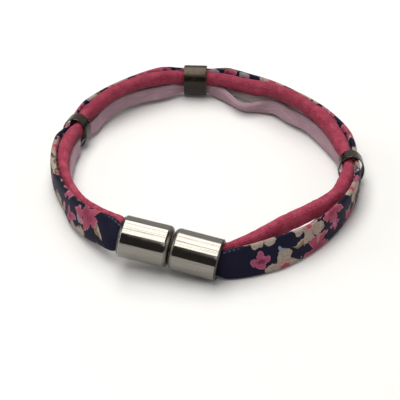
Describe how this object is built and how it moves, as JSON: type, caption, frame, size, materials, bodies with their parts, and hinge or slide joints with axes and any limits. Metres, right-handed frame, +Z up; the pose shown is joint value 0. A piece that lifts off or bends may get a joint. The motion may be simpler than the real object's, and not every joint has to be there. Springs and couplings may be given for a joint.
{
  "type": "magnetic bracelet",
  "caption": "Closed wrist bracelet of a printed fabric band, a knitted cord and a suede lace, gathered by oval ring sliders and a cylindrical magnetic clasp.",
  "frame": {"origin": "middle of the bounding box in plan, on the surface that the bracelet lies on", "axes": "+Z up, square to the plane of the loop; -Y towards the clasp; +X along the clasp towards its shorter cap"},
  "size_m": [0.065, 0.0693, 0.0108],
  "materials": {
    "chrome": "polished",
    "print": "printed with blossoms on navy",
    "raspberry": "knitted, matte",
    "suede": "suede, matte",
    "bronze": "antique, satin"
  },
  "bodies": {
    "root": {"clasp_cap_left": "chrome", "clasp_cap_right": "chrome", "floral_band": "print", "raspberry_cord": "raspberry", "suede_lace": "suede", "slider_left": "bronze", "slider_back": "bronze", "slider_right": "bronze"}
  },
  "joints": []
}
